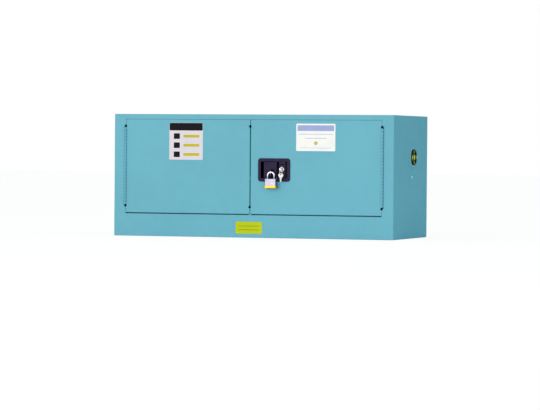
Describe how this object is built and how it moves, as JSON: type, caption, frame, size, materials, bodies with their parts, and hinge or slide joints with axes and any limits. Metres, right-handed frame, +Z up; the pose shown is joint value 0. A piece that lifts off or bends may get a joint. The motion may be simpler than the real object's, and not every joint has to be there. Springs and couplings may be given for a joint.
{
  "type": "flammable safety cabinet",
  "caption": "Low, wide double-walled steel safety cabinet with two hinged doors, a flush paddle latch with lock and padlock, a spill shelf and plugged side vents.",
  "frame": {"origin": "middle of the cabinet's footprint, on the surface it stands on", "axes": "+X to the right seen from the front, +Y towards the back, +Z up"},
  "size_m": [1.11, 0.4836, 0.457],
  "materials": {
    "cabinet_paint": "smooth semi-gloss powder coat",
    "liner_paint": "smooth semi-gloss powder coat",
    "zinc_steel": "bright zinc plate, satin",
    "black_zinc": "black zinc plate, satin",
    "handle_black": "fine-grained moulding",
    "polished_chrome": "polished",
    "key_nickel": "nickel plate, brushed",
    "spring_steel": "drawn wire",
    "padlock_steel": "punched plates, zinc plate",
    "padlock_brass": "satin",
    "plug_metal": "cast, dark olive passivation",
    "gasket_rubber": "moulded",
    "screen_steel": "perforated sheet",
    "rest_plastic": "smooth powder coat"
  },
  "bodies": {
    "cabinet": {"outer_shell": "cabinet_paint", "back_panel": "cabinet_paint", "door_frame": "cabinet_paint", "inner_liner": "liner_paint", "keeper_top": "zinc_steel", "keeper_bottom": "zinc_steel", "door_rest": "rest_plastic", "shelf_standards": "zinc_steel", "shelf_hangers": "zinc_steel", "right_vent_collar": "cabinet_paint", "left_vent_collar": "cabinet_paint", "right_vent_screen": "screen_steel", "left_vent_screen": "screen_steel", "ground_screw": "zinc_steel", "ground_washer": "zinc_steel", "ground_nut": "zinc_steel", "left_hinge_frame_leaf": "cabinet_paint", "right_hinge_frame_leaf": "cabinet_paint", "left_hinge_pin": "zinc_steel", "right_hinge_pin": "zinc_steel"},
    "left_door": {"left_door_skin": "cabinet_paint", "left_door_liner": "liner_paint", "left_hinge_door_leaf": "cabinet_paint", "strike_plate": "zinc_steel", "closing_strip": "cabinet_paint"},
    "right_door": {"right_door_skin": "cabinet_paint", "right_door_liner": "liner_paint", "right_hinge_door_leaf": "cabinet_paint", "handle_housing": "handle_black", "handle_nuts": "zinc_steel", "handle_pin": "zinc_steel", "rotor_pivot": "zinc_steel", "rod_guides": "zinc_steel", "lock_barrel": "polished_chrome", "lock_nut": "zinc_steel", "latch_cover": "liner_paint", "cover_screws": "zinc_steel"},
    "paddle": {"handle_paddle": "handle_black", "padlock_eye": "black_zinc", "handle_spring": "spring_steel"},
    "rotor": {"latch_rotor": "zinc_steel"},
    "upper_rod": {"top_rod": "zinc_steel"},
    "lower_rod": {"bottom_rod": "zinc_steel"},
    "bolt": {"centre_bolt": "zinc_steel"},
    "lock": {"lock_plug": "key_nickel", "lock_cam": "zinc_steel", "lock_key": "key_nickel"},
    "hanging_keys": {"key_ring": "key_nickel", "spare_key": "key_nickel"},
    "shackle": {"padlock_shackle": "polished_chrome"},
    "padlock": {"padlock_case": "padlock_steel", "padlock_base": "padlock_brass"},
    "shelf": {"spill_shelf": "zinc_steel"},
    "right_gasket": {"right_vent_gasket": "gasket_rubber"},
    "right_plug": {"right_vent_plug": "plug_metal"},
    "left_gasket": {"left_vent_gasket": "gasket_rubber"},
    "left_plug": {"left_vent_plug": "plug_metal"}
  },
  "joints": [
    {"name": "left_door_hinge", "type": "hinge", "parent": "cabinet", "child": "left_door", "pos_m": [-0.5019, -0.2295, 0.263], "axis": [0, 0, -1], "range_deg": [0, 180]},
    {"name": "right_door_hinge", "type": "hinge", "parent": "cabinet", "child": "right_door", "pos_m": [0.5019, -0.2295, 0.263], "axis": [0, 0, 1], "range_deg": [0, 180]},
    {"name": "handle_pull", "type": "hinge", "parent": "right_door", "child": "paddle", "pos_m": [0.096, -0.2255, 0.2522], "axis": [0, 0, 1], "range_deg": [0, 22], "stiffness_Nm_per_rad": 0.3, "springref_deg": -11.46},
    {"name": "latch_turn", "type": "hinge", "parent": "right_door", "child": "rotor", "pos_m": [0.09085, -0.2004, 0.24406], "axis": [0, -1, 0], "range_deg": [0, 26.51]},
    {"name": "top_rod_slide", "type": "slide", "parent": "right_door", "child": "upper_rod", "axis": [0, 0, -1], "range_m": [0, 0.01101]},
    {"name": "bottom_rod_slide", "type": "slide", "parent": "right_door", "child": "lower_rod", "axis": [0, 0, 1], "range_m": [0, 0.01101]},
    {"name": "centre_bolt_slide", "type": "slide", "parent": "right_door", "child": "bolt", "axis": [1, 0, 0], "range_m": [0, 0.01101]},
    {"name": "lock_turn", "type": "hinge", "parent": "right_door", "child": "lock", "pos_m": [0.118, -0.2358, 0.2542], "axis": [0, 1, 0], "range_deg": [0, 90]},
    {"name": "key_ring_hang", "type": "hinge", "parent": "lock", "child": "hanging_keys", "pos_m": [0.118, -0.2466, 0.24745], "axis": [0, 1, 0], "range_deg": [-90, 0]},
    {"name": "padlock_swing", "type": "hinge", "parent": "paddle", "child": "shackle", "pos_m": [0.079, -0.2435, 0.2437], "axis": [-1, 0, 0], "range_deg": [0, 20]},
    {"name": "padlock_open", "type": "slide", "parent": "shackle", "child": "padlock", "axis": [0, 0, -1], "range_m": [0, 0.009]},
    {"name": "shelf_lift", "type": "slide", "parent": "cabinet", "child": "shelf", "axis": [0, 0, 1], "range_m": [0, 0.06]},
    {"name": "right_vent_advance", "type": "slide", "parent": "cabinet", "child": "right_gasket", "axis": [1, 0, 0], "range_m": [0, 0.0111]},
    {"name": "right_vent_turn", "type": "hinge", "parent": "right_gasket", "child": "right_plug", "pos_m": [0.54, 0.023, 0.303], "axis": [1, 0, 0], "range_deg": [0, 1800]},
    {"name": "left_vent_advance", "type": "slide", "parent": "cabinet", "child": "left_gasket", "axis": [-1, 0, 0], "range_m": [0, 0.0111]},
    {"name": "left_vent_turn", "type": "hinge", "parent": "left_gasket", "child": "left_plug", "pos_m": [-0.54, 0.023, 0.154], "axis": [-1, 0, 0], "range_deg": [0, 1800]}
  ],
  "couplings": [
    {"joint": "latch_turn", "follows": "handle_pull", "ratio": 1.2045},
    {"joint": "top_rod_slide", "follows": "handle_pull", "m_per_rad": 0.028652},
    {"joint": "bottom_rod_slide", "follows": "handle_pull", "m_per_rad": 0.028652},
    {"joint": "centre_bolt_slide", "follows": "handle_pull", "m_per_rad": 0.028652},
    {"joint": "key_ring_hang", "follows": "lock_turn", "ratio": -1},
    {"joint": "right_vent_advance", "follows": "right_vent_turn", "m_per_rad": 0.00035014},
    {"joint": "left_vent_advance", "follows": "left_vent_turn", "m_per_rad": 0.00035014}
  ]
}
